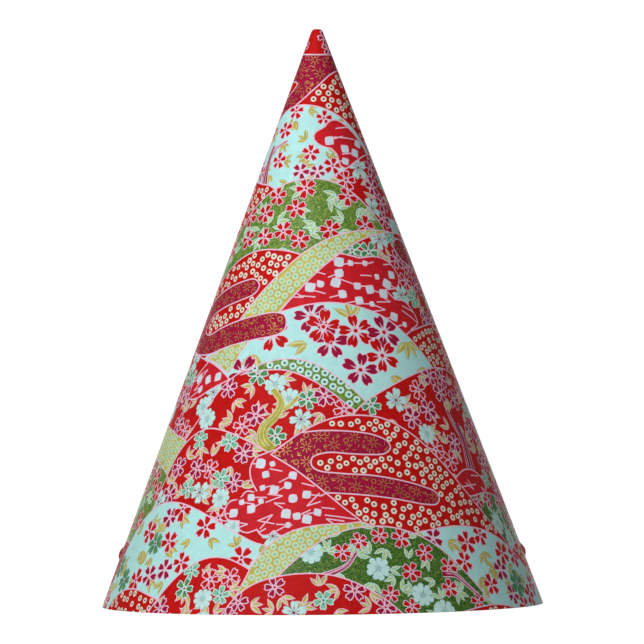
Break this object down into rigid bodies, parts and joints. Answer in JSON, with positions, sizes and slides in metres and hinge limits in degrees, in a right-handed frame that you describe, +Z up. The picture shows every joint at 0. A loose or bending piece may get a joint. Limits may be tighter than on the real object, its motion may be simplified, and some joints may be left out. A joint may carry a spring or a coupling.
{
  "type": "party hat",
  "caption": "Cone-shaped party hat rolled from card and covered with a printed patterned sheet, closed by a taped lap, with anchors for a chin elastic at its sides.",
  "frame": {"origin": "centre of the brim, on the plane that the hat stands on", "axes": "+Z up the hat's axis from the brim to the tip, -Y to the wearer's front, +Y to the taped lap at the back"},
  "size_m": [0.13, 0.1307, 0.1688],
  "materials": {
    "card": "matt white card",
    "print": "matt printed paper with gilt details",
    "tape": "thin double-sided tape",
    "bead": "moulded"
  },
  "bodies": {
    "root": {"card_cone": "card", "print_cover": "print", "seam_tape": "tape", "left_elastic_bead": "bead", "right_elastic_bead": "bead"}
  },
  "joints": []
}
